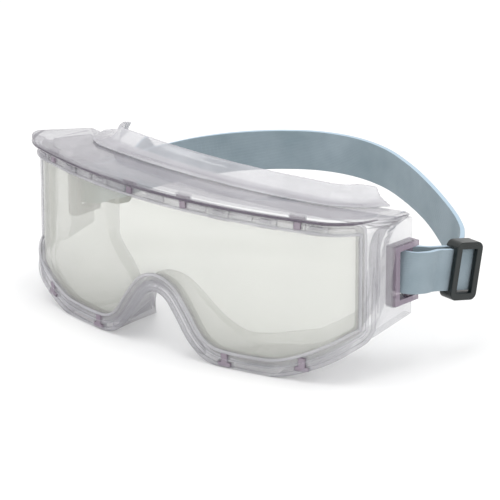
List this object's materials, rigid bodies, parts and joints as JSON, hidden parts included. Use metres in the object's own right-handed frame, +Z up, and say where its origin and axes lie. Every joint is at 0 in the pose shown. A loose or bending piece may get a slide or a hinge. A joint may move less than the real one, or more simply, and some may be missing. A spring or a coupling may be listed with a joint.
{
  "type": "safety goggles",
  "caption": "Clear wrap-around splash goggles with a soft face body, large bent lens, forehead lip, clips, pinned lugs, rubber headband and sliding buckles.",
  "frame": {"origin": "on the surface the cheek lobes stand on, under the middle of the box round the whole object", "axes": "+X to the wearer's left, +Y to the back of the head, +Z up"},
  "size_m": [0.1786, 0.1158, 0.0651],
  "materials": {
    "clear_vinyl": "clear soft vinyl with a faint lilac tint",
    "lens_plastic": "clear polished sheet",
    "lilac_plastic": "translucent lilac moulding",
    "strap_rubber": "matt blue-grey rubber",
    "buckle_plastic": "satin black moulding"
  },
  "bodies": {
    "goggle": {"face_body": "clear_vinyl", "lens": "lens_plastic", "forehead_lip": "clear_vinyl", "lens_clip_top_left_1": "lilac_plastic", "lens_clip_top_left_2": "lilac_plastic", "lens_clip_top_right_1": "lilac_plastic", "lens_clip_top_right_2": "lilac_plastic", "lens_clip_bottom_left_1": "lilac_plastic", "lens_clip_bottom_left_2": "lilac_plastic", "lens_clip_bottom_right_1": "lilac_plastic", "lens_clip_bottom_right_2": "lilac_plastic", "strap_lug_left": "lilac_plastic", "strap_pin_left": "lilac_plastic", "strap_lug_right": "lilac_plastic", "strap_pin_right": "lilac_plastic"},
    "headband": {"head_strap": "strap_rubber"},
    "left_slide": {"buckle_left": "buckle_plastic"},
    "right_slide": {"buckle_right": "buckle_plastic"}
  },
  "joints": [
    {"name": "headband_hinge", "type": "hinge", "parent": "goggle", "child": "headband", "pos_m": [0, -0.00755, 0.0359], "axis": [1, 0, 0], "range_deg": [-3, 20]},
    {"name": "left_buckle_slide", "type": "slide", "parent": "headband", "child": "left_slide", "axis": [-0.171, -0.9698, 0.1736], "range_m": [0, 0.006]},
    {"name": "right_buckle_slide", "type": "slide", "parent": "headband", "child": "right_slide", "axis": [0.171, -0.9698, 0.1736], "range_m": [0, 0.006]}
  ]
}
